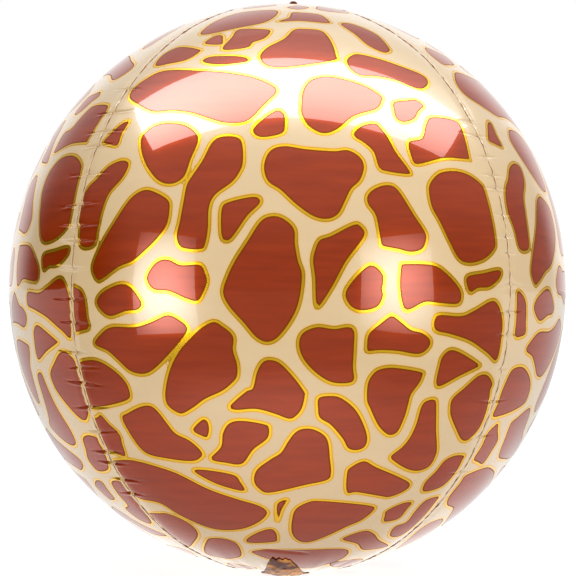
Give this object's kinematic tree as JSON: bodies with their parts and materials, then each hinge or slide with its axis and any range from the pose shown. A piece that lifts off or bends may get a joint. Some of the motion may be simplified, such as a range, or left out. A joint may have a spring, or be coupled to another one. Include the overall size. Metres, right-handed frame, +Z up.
{
  "type": "foil balloon",
  "caption": "Round foil balloon of film gores with a giraffe-patch print, lapped seal flanges, a filling neck folded under it and a sealed crown tip.",
  "frame": {"origin": "on the ground under the middle of the balloon, level with the flat spot that it rests on", "axes": "+Z up through the poles, where the gores meet; the front gore faces -Y and +X is to its right"},
  "size_m": [0.3936, 0.392, 0.4023],
  "materials": {
    "printed_film": "glossy",
    "plain_film": "glossy"
  },
  "bodies": {
    "root": {"gore_front": "printed_film", "gore_right": "printed_film", "gore_back": "printed_film", "gore_left": "printed_film", "filling_neck": "plain_film", "crown_tip": "plain_film"}
  },
  "joints": []
}
